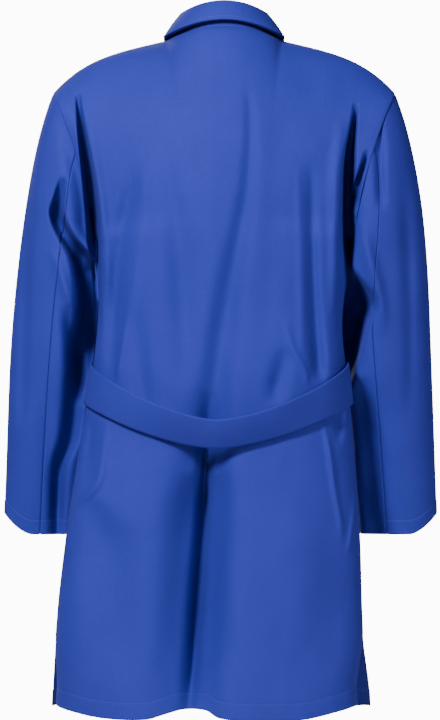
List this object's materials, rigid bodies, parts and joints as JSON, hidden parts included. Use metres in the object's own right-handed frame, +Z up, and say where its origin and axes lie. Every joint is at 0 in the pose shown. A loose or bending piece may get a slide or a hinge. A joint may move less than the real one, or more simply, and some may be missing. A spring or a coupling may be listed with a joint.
{
  "type": "work coat",
  "caption": "Long-sleeved, knee-length twill work coat with turn-down collar, stud front, flapped patch pockets and a half belt at the back.",
  "frame": {"origin": "between the neck ends of the two shoulder seams, where the wearer or a hanger carries the coat", "axes": "+Z up along the coat's length, -Y the way the wearer faces, +X the wearer's left"},
  "size_m": [0.6414, 0.293, 1.0491],
  "materials": {
    "twill": "royal blue cotton twill, matt with a slight sheen",
    "twill_inside": "the same twill's inner face, duller",
    "label": "blank woven label, satin",
    "stud_steel": "nickel-plated press stud"
  },
  "bodies": {
    "root": {"back_panel": "twill", "back_neck_facing": "twill_inside", "collar_stand": "twill", "under_collar": "twill_inside", "upper_collar": "twill", "neck_label": "label", "chest_pocket": "twill"},
    "left_front": {"left_front": "twill", "left_facing": "twill_inside", "left_lower_pocket": "twill", "stud_cap_1": "stud_steel", "stud_cap_2": "stud_steel", "stud_cap_3": "stud_steel", "stud_cap_4": "stud_steel", "stud_cap_5": "stud_steel", "stud_cap_6": "stud_steel"},
    "right_front": {"right_front": "twill", "right_facing": "twill_inside", "right_lower_pocket": "twill", "stud_socket_1": "stud_steel", "stud_socket_2": "stud_steel", "stud_socket_3": "stud_steel", "stud_socket_4": "stud_steel", "stud_socket_5": "stud_steel", "stud_socket_6": "stud_steel"},
    "left_pocket_flap": {"left_pocket_flap": "twill", "left_flap_stud": "stud_steel"},
    "right_pocket_flap": {"right_pocket_flap": "twill", "right_flap_stud": "stud_steel"},
    "chest_flap": {"chest_flap": "twill", "chest_flap_stud": "stud_steel"},
    "left_sleeve": {"left_upper_sleeve": "twill", "left_under_sleeve": "twill"},
    "right_sleeve": {"right_upper_sleeve": "twill", "right_under_sleeve": "twill"},
    "back_belt": {"back_belt": "twill"},
    "hanger_loop": {"hanger_loop": "twill_inside"}
  },
  "joints": [
    {"name": "left_front_open", "type": "hinge", "parent": "root", "child": "left_front", "pos_m": [0.235, -0.05, -0.994], "axis": [-0.2271, -0.0634, 0.9718], "range_deg": [0, 35], "deforming": ["left_front"]},
    {"name": "right_front_open", "type": "hinge", "parent": "root", "child": "right_front", "pos_m": [-0.19, -0.05, -0.994], "axis": [0.1813, -0.064, 0.9813], "range_deg": [-24.5, 0], "deforming": ["right_front"]},
    {"name": "left_sleeve_raise", "type": "hinge", "parent": "root", "child": "left_sleeve", "pos_m": [0.254, 0, -0.077], "axis": [0, -1, 0], "range_deg": [0, 40]},
    {"name": "right_sleeve_raise", "type": "hinge", "parent": "root", "child": "right_sleeve", "pos_m": [-0.254, 0, -0.077], "axis": [0, 1, 0], "range_deg": [0, 40]},
    {"name": "back_belt_lift", "type": "hinge", "parent": "root", "child": "back_belt", "pos_m": [0.007, 0.004, -0.478], "axis": [1, 0, 0], "range_deg": [0, 40]},
    {"name": "left_pocket_flap_lift", "type": "hinge", "parent": "left_front", "child": "left_pocket_flap", "pos_m": [0.103, -0.1245, -0.5955], "axis": [-0.9658, -0.2593, 0], "range_deg": [0, 110]},
    {"name": "right_pocket_flap_lift", "type": "hinge", "parent": "right_front", "child": "right_pocket_flap", "pos_m": [-0.082, -0.1245, -0.5955], "axis": [-0.9658, 0.2593, 0], "range_deg": [0, 110]},
    {"name": "chest_flap_lift", "type": "hinge", "parent": "root", "child": "chest_flap", "pos_m": [0.0995, -0.112, -0.144], "axis": [-0.939, -0.3439, 0], "range_deg": [0, 110]},
    {"name": "hanger_loop_turn", "type": "hinge", "parent": "root", "child": "hanger_loop", "pos_m": [0, 0.061, 0.008], "axis": [-1, 0, 0], "range_deg": [0, 150]}
  ],
  "couplings": [
    {"joint": "right_front_open", "follows": "left_front_open", "ratio": -0.7}
  ]
}
